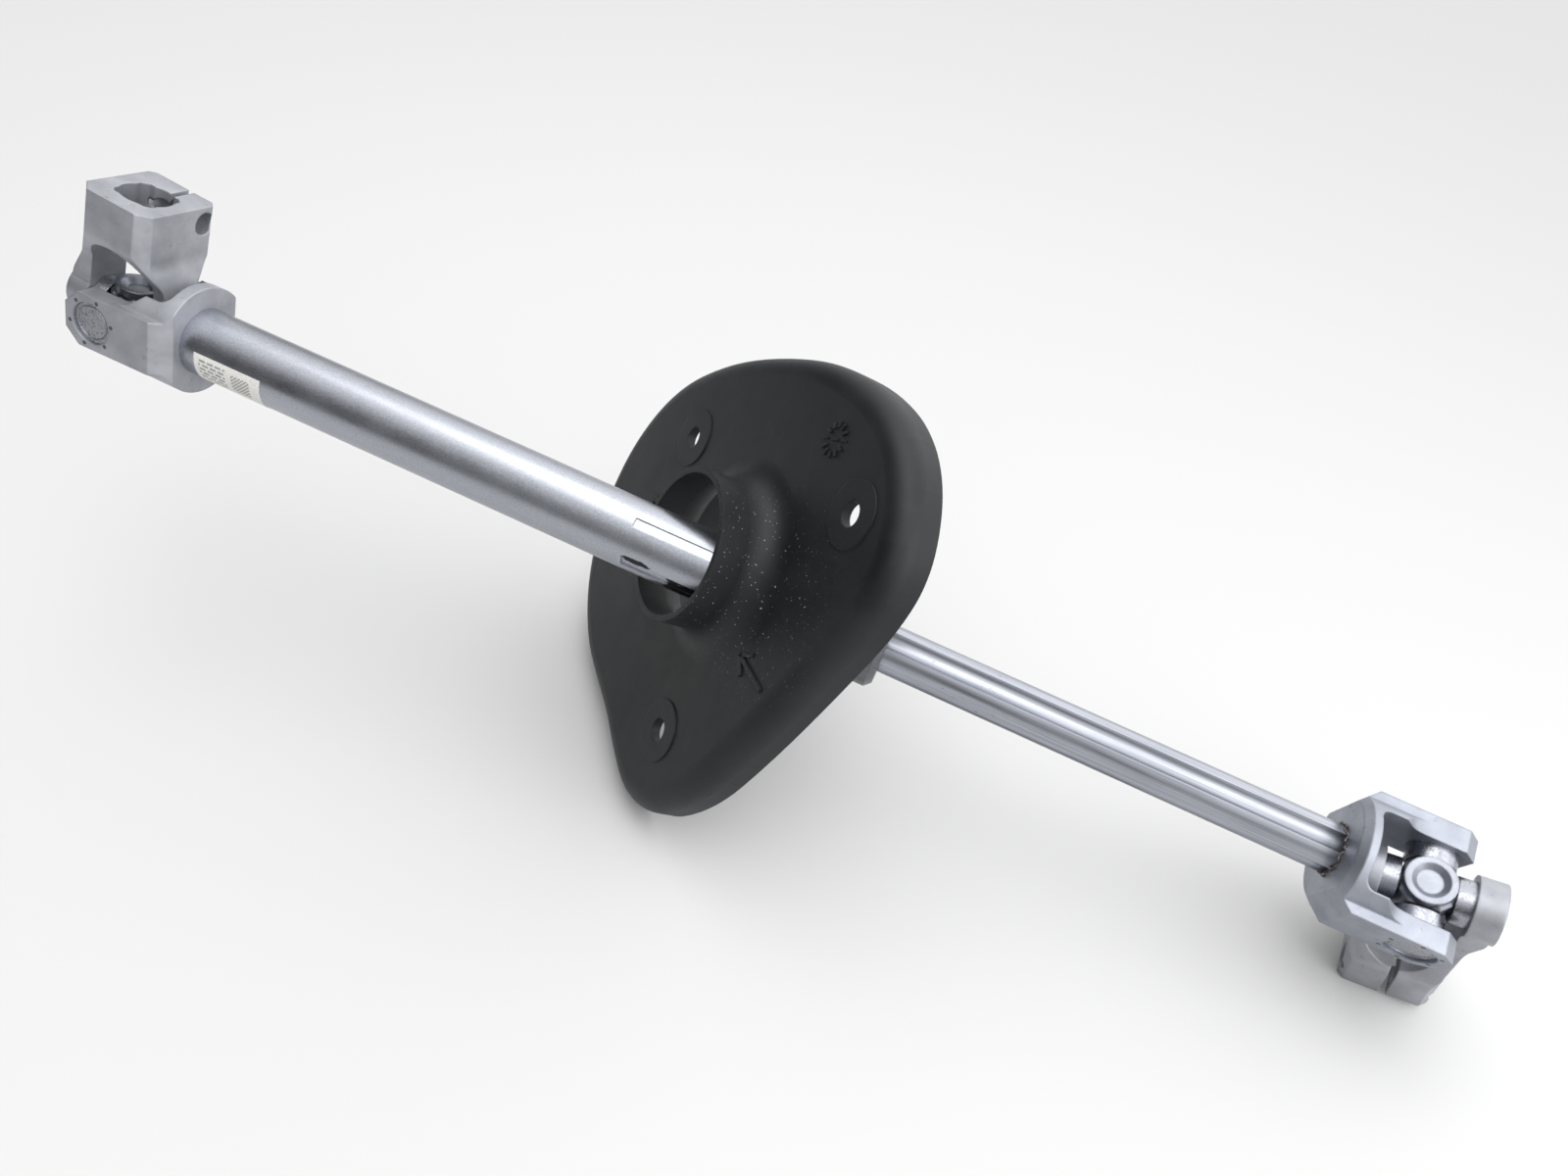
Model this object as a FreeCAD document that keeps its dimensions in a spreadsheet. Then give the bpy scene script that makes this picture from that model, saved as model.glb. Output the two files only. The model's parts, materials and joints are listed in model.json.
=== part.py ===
import FreeCAD, Part
import math
import os
import re

import Sketcher

# Intermediate steering shaft: two cardan joints, a telescopic shaft between them
# and a rubber boot threaded on it.
#
# Every piece is drawn in the shaft frame: X runs along the shaft from the upper
# joint's centre to the lower joint's centre, and the last step turns the whole
# assembly to the attitude in which it rests on a flat surface.

V = FreeCAD.Vector
X_AXIS, Y_AXIS, Z_AXIS = V(1, 0, 0), V(0, 1, 0), V(0, 0, 1)

SIZES = {
    # Overall layout
    "joint_spacing": 507.0,
    "tube_end": 312.4,
    "tube_diameter": 26.0,
    "tube_bore": 22.2,
    # Bearing cups and crosses, the same in both joints
    "cup_diameter": 16.0,
    "cup_bore": 14.08,
    "cup_floor": 1.5,
    "cup_length": 12.2,
    "cup_sink": 1.0,
    "trunnion_diameter": 9.0,
    "trunnion_end_play": 0.06,
    "needle_diameter": 2.5,
    "needle_length": 8.0,
    "needle_end_play": 0.15,
    "needle_play": 0.02,
    "seal_width": 1.4,
    "seal_play": 0.04,
    "seal_setback": 0.2,
    "press_play": 0.02,
    "cross_body_width": 15.6,
    "cross_body_height": 16.0,
    "cross_corner": 3.0,
    "cross_boss_diameter": 15.7,
    "cross_boss_height": 3.2,
    "cross_dish_diameter": 11.6,
    "cross_dish_floor": 7.8,
    "cross_dish_depth": 2.0,
    # Forks on the two shaft ends
    "ear_gap": 27.4,
    "ear_thickness": 8.0,
    "ear_width": 21.0,
    "ear_reach": 11.0,
    "ear_tip_chamfer": 5.5,
    "fork_base_back": 31.0,
    "fork_web": 5.0,
    "fork_base_diameter": 42.0,
    "fork_back_chamfer": 6.0,
    "fork_waist_start": 12.0,
    "fork_waist_end": 23.0,
    "fork_waist_radius": 9.0,
    "fork_throat_radius": 4.0,
    "base_rim_chamfer": 2.5,
    "spigot_length": 12.0,
    # Clamp yokes
    "clamp_height": 47.0,
    "clamp_width": 29.0,
    "clamp_front": 16.5,
    "clamp_far": 18.3,
    "clamp_corner": 4.5,
    "clamp_slit_corner": 2.2,
    "clamp_neck_width": 16.5,
    "clamp_neck_end": 18.0,
    "clamp_shoulder": 30.0,
    "clamp_ear_end": 9.0,
    "clamp_flare_end": 27.0,
    "clamp_flare_radius": 10.0,
    "clamp_ear_boss": 20.6,
    "clamp_boss_rise": 0.6,
    "clamp_arch_top": 28.5,
    "clamp_bore_diameter": 18.5,
    "clamp_bore_square": 16.6,
    "clamp_bore_corner": 20.6,
    "pinch_bolt_hole": 9.0,
    "pinch_bolt_offset": 12.7,
    "pinch_bolt_drop": 6.5,
    "clamp_slit": 2.4,
    "upper_slit_offset": 3.0,
    "lower_slit_offset": 0.5,
    # Telescopic slide
    "shaft_diameter": 17.6,
    "flute_count": 4.0,
    "flute_radius": 3.9,
    "flute_floor_radius": 6.2,
    "flute_turn": 21.1,
    "shaft_inner_end": 211.5,
    "slide_play": 0.08,
    "rib_play": 0.1,
    "sleeve_start": 252.6,
    "sleeve_length": 54.0,
    "stop_ring_width": 2.0,
    "stop_ring_setback": 2.5,
    "stop_ring_depth": 0.9,
    "stop_ring_diameter": 21.0,
    # Long recesses in the outer tube
    "recess_count": 5.0,
    "recess_turn": 17.7,
    "recess_width": 3.7,
    "recess_depth": 0.8,
    "recess_start": 216.2,
    # End cap and wiper of the outer tube
    "cap_diameter": 31.0,
    "cap_skirt": 11.0,
    "cap_face": 1.8,
    "cap_chamfer": 2.2,
    "wiper_width": 3.0,
    # Label on the tube
    "label_start": 37.5,
    "label_length": 28.5,
    "label_thickness": 0.15,
    "label_first_angle": 24.0,
    "label_last_angle": 112.0,
    # Rubber boot
    "boot_width": 210.0,
    "boot_height": 180.0,
    "boot_wall": 3.2,
    "boot_rim_depth": 16.0,
    "boot_rim_radius": 9.0,
    "mouth_diameter": 56.8,
    "mouth_wall": 2.2,
    "collar_height": 22.0,
    "collar_flare": 10.6,
    "back_lip_wall": 2.2,
    "boot_hole_circle": 138.0,
    "boot_hole_diameter": 9.0,
    "boot_hole_turn": 24.7,
    "boot_ring_diameter": 24.0,
    "boot_ring_rise": 0.5,
    "boot_position": 227.1,
    "boot_lift": 3.5,
    "boot_drop": 7.6,
    "boot_lean": 41.0,
    "boot_yaw": 7.8,
    "boot_roll": -5.3,
    # Attitude of the joints and of the whole assembly at rest
    "upper_fold": 95.5,
    "upper_ear_angle": 32.0,
    "lower_fold": 72.0,
    "lower_ear_angle": 68.0,
    "lower_swing": 9.0,
    "rest_roll": 43.767,
    "rest_pitch": 9.614,
}

doc = FreeCAD.newDocument("IntermediateSteeringShaft")
sheet = doc.addObject("Spreadsheet::Sheet", "Sizes")
for row, (alias, value) in enumerate(SIZES.items(), start=1):
    sheet.set(f"A{row}", alias)
    sheet.set(f"B{row}", str(value))
    sheet.setAlias(f"B{row}", alias)
doc.recompute()


def size(alias):
    """One named size from the sheet, as a plain number."""
    return float(sheet.get(alias))


def worked_out(formula):
    """The value of a formula written in the sheet's names."""
    sheet.set("D1", "=" + formula)
    sheet.recompute()
    return float(sheet.get("D1"))


def bind(thing, **formulas):
    """Tie properties of an object to formulas in the sheet's names."""
    for prop, formula in formulas.items():
        linked = re.sub(r"[a-z_]+", lambda m: "Sizes." + m[0] if m[0] in SIZES else m[0], formula)
        thing.setExpression(prop, linked)
    return thing


def cylinder(name, start, axis, **formulas):
    """A round solid that starts at a point and runs along an axis."""
    solid = bind(doc.addObject("Part::Cylinder", name), **formulas)
    solid.Placement = FreeCAD.Placement(start, FreeCAD.Rotation(Z_AXIS, axis))
    return solid


def box(name, corner, **formulas):
    """A straight block from its lowest corner."""
    solid = bind(doc.addObject("Part::Box", name), **formulas)
    solid.Placement.Base = corner
    return solid


def corner_sketch(sketch, points):
    """Fills a sketch with a closed outline, each corner held by two distances to the origin."""
    values = [(worked_out(across), worked_out(up)) for across, up in points]
    count = len(values)
    for i in range(count):
        here, there = values[i], values[(i + 1) % count]
        sketch.addGeometry(Part.LineSegment(V(*here, 0), V(*there, 0)), False)
    for i in range(count):
        sketch.addConstraint(Sketcher.Constraint("Coincident", i, 2, (i + 1) % count, 1))
    for i, point in enumerate(points):
        for kind, own_axis, formula, value in zip(("DistanceX", "DistanceY"), (-2, -1), point, values[i]):
            if abs(value) < 1e-9:
                sketch.addConstraint(Sketcher.Constraint("PointOnObject", i, 1, own_axis))
            else:
                number = sketch.addConstraint(Sketcher.Constraint(kind, -1, 1, i, 1, value))
                bind(sketch, **{f"Constraints[{number}]": formula})
    return sketch


def extrusion(name, turn, points, length):
    """A closed outline pushed out to both sides of its plane."""
    sketch = doc.addObject("Sketcher::SketchObject", name + "_outline")
    sketch.Placement = FreeCAD.Placement(V(0, 0, 0), turn)
    corner_sketch(sketch, points)
    solid = doc.addObject("Part::Extrusion", name)
    solid.Base = sketch
    solid.DirMode = "Normal"
    solid.Solid = True
    solid.Symmetric = True
    return bind(solid, LengthFwd=length)


def turned_body(name, points):
    """A PartDesign body turned about X from a half section; a point is (along X, radius)."""
    body = doc.addObject("PartDesign::Body", name)
    sketch = body.newObject("Sketcher::SketchObject", name + "_section")
    sketch.AttachmentSupport = [(origin_feature(body, "XY_Plane"), "")]
    sketch.MapMode = "FlatFace"
    corner_sketch(sketch, points)
    turned = body.newObject("PartDesign::Revolution", name + "_turned")
    turned.Profile = sketch
    turned.ReferenceAxis = (sketch, ["H_Axis"])
    turned.Angle = 360.0
    body.Tip = turned
    return body


def origin_feature(body, role):
    """One of a body's own origin planes or axes."""
    return next(item for item in body.Origin.OriginFeatures if item.Role == role)


def polar_pattern(body, feature, name, count):
    """Repeats a feature round the body's X axis."""
    pattern = body.newObject("PartDesign::PolarPattern", name)
    pattern.Originals = [feature]
    pattern.Axis = (origin_feature(body, "X_Axis"), [""])
    pattern.Angle = 360.0
    bind(pattern, Occurrences=count)
    body.Tip = pattern
    return pattern


def boolean(kind, name, shapes):
    """A fuse or common of several objects."""
    result = doc.addObject("Part::Multi" + kind, name)
    result.Shapes = shapes
    return result


def cut(name, base, tools):
    """A base with one or several tools taken out of it."""
    result = doc.addObject("Part::Cut", name)
    result.Base = base
    result.Tool = tools[0] if len(tools) == 1 else boolean("Fuse", name + "_tools", tools)
    return result


def feature(name, shape):
    """A plain feature that carries a shape worked out by code."""
    thing = doc.addObject("Part::Feature", name)
    thing.Shape = shape
    return thing


def edges_that(shape, test):
    """The edges of a shape whose middle point and direction pass a test."""
    found = []
    for edge in shape.Edges:
        middle = edge.valueAt((edge.FirstParameter + edge.LastParameter) / 2)
        if test(edge, middle):
            found.append(edge)
    return found


def near(value, target, slack=0.01):
    """Whether two lengths are the same for picking an edge."""
    return abs(value - target) < slack


TURN_SIDE = FreeCAD.Rotation(X_AXIS, 90)
ear_out = size("ear_gap") / 2 + size("ear_thickness")
BIG = 400.0
nodes = {}


# Forks of the two shaft ends. A fork is drawn with its joint centre at the origin, its
# base towards +X and its ears along Z.

def fork(name):
    """The forged fork: two ears on a round base, waisted where the ears meet the base."""
    side = extrusion(name + "_side", TURN_SIDE, [
        ("-ear_reach", "-(ear_gap / 2 + ear_thickness)"),
        ("fork_base_back - fork_back_chamfer", "-(ear_gap / 2 + ear_thickness)"),
        ("fork_base_back", "-(ear_gap / 2 + ear_thickness - fork_back_chamfer)"),
        ("fork_base_back", "ear_gap / 2 + ear_thickness - fork_back_chamfer"),
        ("fork_base_back - fork_back_chamfer", "ear_gap / 2 + ear_thickness"),
        ("-ear_reach", "ear_gap / 2 + ear_thickness"),
        ("-ear_reach", "ear_gap / 2"),
        ("fork_base_back - fork_web", "ear_gap / 2"),
        ("fork_base_back - fork_web", "-ear_gap / 2"),
        ("-ear_reach", "-ear_gap / 2"),
    ], "fork_base_diameter + 10")
    face = extrusion(name + "_face", FreeCAD.Rotation(), [
        ("-ear_reach", "ear_tip_chamfer - ear_width / 2"),
        ("ear_tip_chamfer - ear_reach", "-ear_width / 2"),
        ("fork_waist_start", "-ear_width / 2"),
        ("fork_waist_end", "-fork_base_diameter / 2 - 1"),
        ("fork_base_back", "-fork_base_diameter / 2 - 1"),
        ("fork_base_back", "fork_base_diameter / 2 + 1"),
        ("fork_waist_end", "fork_base_diameter / 2 + 1"),
        ("fork_waist_start", "ear_width / 2"),
        ("ear_tip_chamfer - ear_reach", "ear_width / 2"),
        ("-ear_reach", "ear_width / 2 - ear_tip_chamfer"),
    ], "2 * (ear_gap / 2 + ear_thickness) + 2")
    doc.recompute()
    waist = size("fork_waist_start")
    soft_face = feature(name + "_soft_face", face.Shape.makeFillet(
        size("fork_waist_radius"),
        edges_that(face.Shape, lambda e, m: near(m.x, waist) and near(m.z, 0)),
    ))
    throat = size("fork_base_back") - size("fork_web")
    soft_side = feature(name + "_soft_side", side.Shape.makeFillet(
        size("fork_throat_radius"),
        edges_that(side.Shape, lambda e, m: near(m.x, throat) and near(abs(m.z), size("ear_gap") / 2)),
    ))
    base = cylinder(name + "_round", V(-20, 0, 0), X_AXIS, Radius="fork_base_diameter / 2",
                    Height="fork_base_back + 20")
    band = box(name + "_band", V(-20, -size("ear_width") / 2, -ear_out), Length="fork_base_back + 20",
               Width="ear_width", Height="ear_gap + 2 * ear_thickness")
    envelope = boolean("Fuse", name + "_envelope", [base, band])
    return boolean("Common", name + "_blank", [soft_side, soft_face, envelope])


def cup_bores(name):
    """One long round tool through both ears of a fork."""
    return cylinder(name + "_cup_bore", V(0, 0, -BIG / 2), Z_AXIS,
                    Radius="cup_diameter / 2 + press_play", Height=f"{BIG}")


def rim_cutter(name):
    """A ring that bevels the back rim of the round base."""
    back, bevel, outer = size("fork_base_back"), size("base_rim_chamfer"), size("fork_base_diameter") / 2
    corners = [(back - bevel, outer), (back, outer - bevel), (back + 1, outer - bevel),
               (back + 1, outer + 5), (back - bevel, outer + 5)]
    section = Part.makePolygon([V(x, r, 0) for x, r in corners + corners[:1]])
    return feature(name + "_rim_tool", Part.Face(section).revolve(V(0, 0, 0), X_AXIS, 360))


# Upper fork: its spigot sits in the outer tube, which is welded to the base
tube_fork = fork("tube_fork")
spigot = cylinder("tube_fork_spigot", V(size("fork_base_back") - 1, 0, 0), X_AXIS,
                  Radius="tube_bore / 2 - press_play", Height="spigot_length + 1")
joined = boolean("Fuse", "tube_fork_with_spigot", [tube_fork, spigot])
nodes["upper_tube_yoke"] = cut("upper_tube_yoke", joined, [cup_bores("tube_fork")])

# Lower fork: the fluted shaft is pressed and staked in its bore
shaft_fork = fork("shaft_fork")
shaft_bore = cylinder("shaft_fork_bore", V(0, 0, 0), X_AXIS, Radius="shaft_diameter / 2 + press_play",
                      Height=f"{BIG}")
nodes["lower_shaft_yoke"] = cut("lower_shaft_yoke", shaft_fork,
                                [cup_bores("shaft_fork"), shaft_bore, rim_cutter("shaft_fork")])


# Clamp yokes, which grip the steering column above and the rack pinion below. A clamp yoke
# is drawn with its joint centre at the origin, its ears along X, its hub towards +Y and its
# slit on the -Z side.

def clamp_yoke(name, slit_offset):
    """The clamp yoke with its splined-hub bore, slit and pinch bolt hole."""
    front = extrusion(name + "_front", FreeCAD.Rotation(), [
        ("-(ear_gap / 2 + ear_thickness)", "-ear_reach"),
        ("-ear_gap / 2", "-ear_reach"),
        ("-ear_gap / 2", "clamp_arch_top"),
        ("ear_gap / 2", "clamp_arch_top"),
        ("ear_gap / 2", "-ear_reach"),
        ("ear_gap / 2 + ear_thickness", "-ear_reach"),
        ("ear_gap / 2 + ear_thickness", "clamp_ear_end"),
        ("clamp_width / 2", "clamp_flare_end"),
        ("clamp_width / 2", "clamp_height"),
        ("-clamp_width / 2", "clamp_height"),
        ("-clamp_width / 2", "clamp_flare_end"),
        ("-(ear_gap / 2 + ear_thickness)", "clamp_ear_end"),
    ], "2 * (clamp_front + clamp_far)")
    side = extrusion(name + "_side", FreeCAD.Rotation(Y_AXIS, -90), [
        ("-clamp_far", "clamp_height"),
        ("-clamp_far", "clamp_shoulder"),
        ("-clamp_neck_width / 2", "clamp_neck_end"),
        ("-clamp_neck_width / 2", "0"),
        ("clamp_neck_width / 2", "0"),
        ("clamp_neck_width / 2", "clamp_neck_end"),
        ("clamp_front", "clamp_shoulder"),
        ("clamp_front", "clamp_height"),
    ], "ear_gap + 2 * ear_thickness + 4")
    doc.recompute()
    arch, flare = size("clamp_arch_top"), size("clamp_flare_radius")
    half_gap = size("ear_gap") / 2
    rounded = front.Shape.makeFillet(half_gap - 0.2, edges_that(
        front.Shape, lambda e, m: near(m.y, arch) and near(abs(m.x), half_gap)))
    ear_end, flare_end = size("clamp_ear_end"), size("clamp_flare_end")
    rounded = rounded.makeFillet(flare, edges_that(
        rounded, lambda e, m: near(m.z, 0) and (
            (near(m.y, ear_end) and near(abs(m.x), ear_out))
            or (near(m.y, flare_end) and near(abs(m.x), size("clamp_width") / 2)))))
    neck_end, neck = size("clamp_neck_end"), size("clamp_neck_width") / 2
    shouldered = side.Shape.makeFillet(6.0, edges_that(
        side.Shape, lambda e, m: near(m.x, 0) and near(m.y, neck_end) and near(abs(m.z), neck)))
    shouldered = shouldered.makeFillet(5.0, edges_that(
        shouldered, lambda e, m: near(m.x, 0) and near(m.y, size("clamp_shoulder"))))
    ears = boolean("Fuse", name + "_side_with_ears", [
        feature(name + "_neck", shouldered),
        cylinder(name + "_ear_round", V(-ear_out - 5, 0, 0), X_AXIS, Radius="clamp_ear_boss / 2",
                 Height="ear_gap + 2 * ear_thickness + 10"),
    ])
    blank = boolean("Common", name + "_blank", [feature(name + "_ears", rounded), ears])
    doc.recompute()
    half, wide = size("clamp_width") / 2, ear_out + 1
    front_side, far_side = size("clamp_front"), size("clamp_far")
    corner, slit_corner = size("clamp_corner"), size("clamp_slit_corner")
    right = [(half - corner, front_side), (wide, front_side - (wide - half + corner)),
             (wide, wide - half + slit_corner - far_side), (half - slit_corner, -far_side)]
    rim = [V(x, neck_end, z) for x, z in right] + [V(-x, neck_end, z) for x, z in reversed(right)]
    hub = Part.Face(Part.makePolygon(rim + [rim[0]])).extrude(V(0, BIG, 0))
    below = Part.makeBox(BIG, neck_end + BIG / 2, BIG, V(-BIG / 2, -BIG / 2, -BIG / 2))
    trimmed = boolean("Common", name + "_trimmed", [blank, feature(name + "_limits", hub.fuse(below))])
    boss_rise = size("clamp_boss_rise")
    bosses = [cylinder(f"{name}_boss_{side_sign}", V(start, 0, 0), X_AXIS, Radius="clamp_ear_boss / 2",
                       Height="clamp_boss_rise + ear_thickness / 2")
              for side_sign, start in (("high", ear_out - size("ear_thickness") / 2),
                                       ("low", -ear_out - boss_rise))]
    body = boolean("Fuse", name + "_body", [trimmed] + bosses)
    square, round_corner = size("clamp_bore_square"), size("clamp_bore_corner")
    corners = Part.makeBox(square, BIG, square, V(-square / 2, 0, -square / 2)).common(
        Part.makeCylinder(round_corner / 2, BIG, V(0, 0, 0), Y_AXIS))
    bore = Part.makeCylinder(size("clamp_bore_diameter") / 2, BIG, V(0, 0, 0), Y_AXIS).fuse(corners)
    slit = box(name + "_slit", V(slit_offset - size("clamp_slit") / 2, 0, -BIG / 2),
               Length="clamp_slit", Width="clamp_height + 10", Height=f"{BIG / 2}")
    bolt = cylinder(name + "_bolt_hole",
                    V(-BIG / 2, size("clamp_height") - size("pinch_bolt_drop"), -size("pinch_bolt_offset")),
                    X_AXIS, Radius="pinch_bolt_hole / 2", Height=f"{BIG}")
    cup_bore = cylinder(name + "_cup_bore", V(-BIG / 2, 0, 0), X_AXIS,
                        Radius="cup_diameter / 2 + press_play", Height=f"{BIG}")
    return cut(name, body, [feature(name + "_bore", bore), slit, bolt, cup_bore])


nodes["upper_clamp_yoke"] = clamp_yoke("upper_clamp_yoke", size("upper_slit_offset"))
nodes["lower_clamp_yoke"] = clamp_yoke("lower_clamp_yoke", size("lower_slit_offset"))


# Crosses: forged body with a dished boss on both faces and four ground trunnions

def cross(name):
    """A cardan cross with trunnions along X and Z and bosses along Y."""
    reach = "ear_gap / 2 + ear_thickness - cup_sink - cup_floor - trunnion_end_play"
    trunnions = [
        cylinder(name + "_trunnion_x", V(-worked_out(reach), 0, 0), X_AXIS, Radius="trunnion_diameter / 2",
                 Height=f"2 * ({reach})"),
        cylinder(name + "_trunnion_z", V(0, 0, -worked_out(reach)), Z_AXIS, Radius="trunnion_diameter / 2",
                 Height=f"2 * ({reach})"),
    ]
    half, height, corner = (size("cross_body_width") / 2, size("cross_body_height"), size("cross_corner"))
    block = Part.makeBox(2 * half, height, 2 * half, V(-half, -height / 2, -half))
    block = block.makeChamfer(corner, edges_that(block, lambda e, m: near(m.y, 0)))
    block = block.makeChamfer(1.2, edges_that(block, lambda e, m: near(abs(m.y), height / 2)))
    boss = cylinder(name + "_boss", V(0, -height / 2 - size("cross_boss_height"), 0), Y_AXIS,
                    Radius="cross_boss_diameter / 2", Height="cross_body_height + 2 * cross_boss_height")
    solid = boolean("Fuse", name + "_solid", trunnions + [feature(name + "_block", block), boss])
    face = height / 2 + size("cross_boss_height")
    dishes = []
    for label, sign in (("high", 1), ("low", -1)):
        dish = Part.makeCone(size("cross_dish_diameter") / 2, size("cross_dish_floor") / 2,
                             size("cross_dish_depth"), V(0, sign * face, 0), V(0, -sign, 0))
        dishes.append(feature(f"{name}_dish_{label}", dish))
    return cut(name, solid, dishes)


nodes["upper_cross"] = cross("upper_cross")
nodes["lower_cross"] = cross("lower_cross")


# Bearing cups, needles and seals of one trunnion, drawn along +X, and then set in pairs

cup_mouth = "ear_gap / 2 + ear_thickness - cup_sink - cup_length"
cup_end = "ear_gap / 2 + ear_thickness - cup_sink"
cup_inside = f"({cup_end}) - cup_floor"


def cup():
    """A drawn steel cup, open towards the cross."""
    return turned_body("cup_form", [
        (cup_mouth, "cup_bore / 2"), (cup_mouth, "cup_diameter / 2"), (cup_end, "cup_diameter / 2"),
        (cup_end, "0"), (cup_inside, "0"), (cup_inside, "cup_bore / 2"),
    ])


def seal():
    """The rubber ring in the mouth of a cup."""
    start = f"({cup_mouth}) + seal_setback"
    end = f"({start}) + seal_width"
    return turned_body("seal_form", [
        (start, "trunnion_diameter / 2 + seal_play"), (start, "cup_bore / 2"),
        (end, "cup_bore / 2"), (end, "trunnion_diameter / 2 + seal_play"),
    ])


def needle_row():
    """The row of needle rollers round one trunnion, as one ring of their height."""
    inside = "trunnion_diameter / 2 + needle_play"
    end = f"({cup_inside}) - needle_end_play"
    start = f"({end}) - needle_length"
    return turned_body("needle_form", [
        (start, inside), (start, f"{inside} + needle_diameter"),
        (end, f"{inside} + needle_diameter"), (end, inside),
    ])


cup_form, seal_form, needle_form = cup(), seal(), needle_row()
doc.recompute()
PAIRS = {"z": FreeCAD.Rotation(Y_AXIS, -90), "x": FreeCAD.Rotation()}
OWNERS = {"upper_tube_yoke": "z", "upper_clamp_yoke": "x", "lower_shaft_yoke": "z", "lower_clamp_yoke": "x"}
for owner, direction in OWNERS.items():
    for suffix, form in (("_cups", cup_form), ("_seals", seal_form), ("_needles", needle_form)):
        pair = []
        for flip in (0, 180):
            piece = form.Shape.copy()
            spin = FreeCAD.Placement(V(0, 0, 0), PAIRS[direction] * FreeCAD.Rotation(Z_AXIS, flip))
            piece.Placement = spin * piece.Placement
            pair.append(piece)
        nodes[owner + suffix] = feature(owner + suffix, Part.makeCompound(pair))


# Outer tube with its long recesses

tube = doc.addObject("PartDesign::Body", "outer_tube")
section = tube.newObject("Sketcher::SketchObject", "tube_section")
section.AttachmentSupport = [(origin_feature(tube, "YZ_Plane"), "")]
section.MapMode = "FlatFace"
bind(section, **{"AttachmentOffset.Base.z": "fork_base_back + press_play"})
for i, alias in enumerate(("tube_diameter", "tube_bore")):
    section.addGeometry(Part.Circle(V(0, 0, 0), Z_AXIS, size(alias) / 2), False)
    section.addConstraint(Sketcher.Constraint("Coincident", i, 3, -1, 1))
    number = section.addConstraint(Sketcher.Constraint("Radius", i, size(alias) / 2))
    bind(section, **{f"Constraints[{number}]": alias + " / 2"})
drawn = tube.newObject("PartDesign::Pad", "tube_drawn")
drawn.Profile = section
bind(drawn, Length="tube_end - fork_base_back - press_play")
doc.recompute()
window = tube.newObject("Sketcher::SketchObject", "recess_outline")
window.AttachmentSupport = [(origin_feature(tube, "XY_Plane"), "")]
window.MapMode = "FlatFace"
bind(window, **{"AttachmentOffset.Base.z": "tube_diameter / 2 - recess_depth"})
corner_sketch(window, [
    ("recess_start", "-recess_width / 2"), ("tube_end + 1", "-recess_width / 2"),
    ("tube_end + 1", "recess_width / 2"), ("recess_start", "recess_width / 2"),
])
recess = tube.newObject("PartDesign::Pocket", "recess")
recess.Profile = window
recess.Reversed = True
bind(recess, Length="recess_depth + 1")
doc.recompute()
polar_pattern(tube, recess, "recesses", "recess_count")
nodes["outer_tube"] = tube

# Glide sleeve pressed in the tube: its bore guides the shaft, and a rib runs in every flute

def along_x(radius, start, length, ring=0.0, angle=0.0):
    """A round bar along X at a distance and angle from the shaft's axis."""
    place = V(start, -ring * math.sin(angle), ring * math.cos(angle))
    return Part.makeCylinder(radius, length, place, X_AXIS)


sleeve_start, sleeve_length = size("sleeve_start"), size("sleeve_length")
sleeve_blank = along_x(size("tube_bore") / 2 - size("press_play"), sleeve_start, sleeve_length)
sleeve_bore = along_x(size("shaft_diameter") / 2 + size("slide_play"), sleeve_start - 1, sleeve_length + 2)
flute_count = int(size("flute_count"))
ribs = [along_x(size("flute_radius") - size("rib_play"), sleeve_start - 1, sleeve_length + 2,
                size("flute_floor_radius") + size("flute_radius"), 2 * math.pi * k / flute_count)
        for k in range(flute_count)]
ribbed_bore = sleeve_bore.cut(ribs[0].multiFuse(ribs[1:]))
nodes["glide_sleeve"] = feature("glide_sleeve", sleeve_blank.cut(ribbed_bore))

# Inner shaft: drawn bar with concave flutes, a snap ring groove inside the tube

inner = doc.addObject("PartDesign::Body", "inner_shaft")
shaft_end = "joint_spacing - (fork_base_back - fork_web)"
bar_sketch = inner.newObject("Sketcher::SketchObject", "bar_section")
bar_sketch.AttachmentSupport = [(origin_feature(inner, "XY_Plane"), "")]
bar_sketch.MapMode = "FlatFace"
groove_near = "shaft_inner_end + stop_ring_setback"
groove_far = "shaft_inner_end + stop_ring_setback + stop_ring_width + 2 * slide_play"
corner_sketch(bar_sketch, [
    ("shaft_inner_end", "0"), (shaft_end, "0"), (shaft_end, "shaft_diameter / 2"),
    (groove_far, "shaft_diameter / 2"), (groove_far, "shaft_diameter / 2 - stop_ring_depth"),
    (groove_near, "shaft_diameter / 2 - stop_ring_depth"), (groove_near, "shaft_diameter / 2"),
    ("shaft_inner_end", "shaft_diameter / 2"),
])
bar = inner.newObject("PartDesign::Revolution", "bar")
bar.Profile = bar_sketch
bar.ReferenceAxis = (bar_sketch, ["H_Axis"])
bar.Angle = 360.0
doc.recompute()
flute_sketch = inner.newObject("Sketcher::SketchObject", "flute_section")
flute_sketch.AttachmentSupport = [(origin_feature(inner, "YZ_Plane"), "")]
flute_sketch.MapMode = "FlatFace"
bind(flute_sketch, **{"AttachmentOffset.Base.z": "shaft_inner_end - 1"})
flute_ring = "flute_floor_radius + flute_radius"
flute_sketch.addGeometry(Part.Circle(V(0, worked_out(flute_ring), 0), Z_AXIS, size("flute_radius")), False)
flute_sketch.addConstraint(Sketcher.Constraint("PointOnObject", 0, 3, -2))
for kind, args, formula in (("DistanceY", (-1, 1, 0, 3), flute_ring), ("Radius", (0,), "flute_radius")):
    number = flute_sketch.addConstraint(Sketcher.Constraint(kind, *args, worked_out(formula)))
    bind(flute_sketch, **{f"Constraints[{number}]": formula})
flute = inner.newObject("PartDesign::Pocket", "flute")
flute.Profile = flute_sketch
flute.Reversed = True
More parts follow.
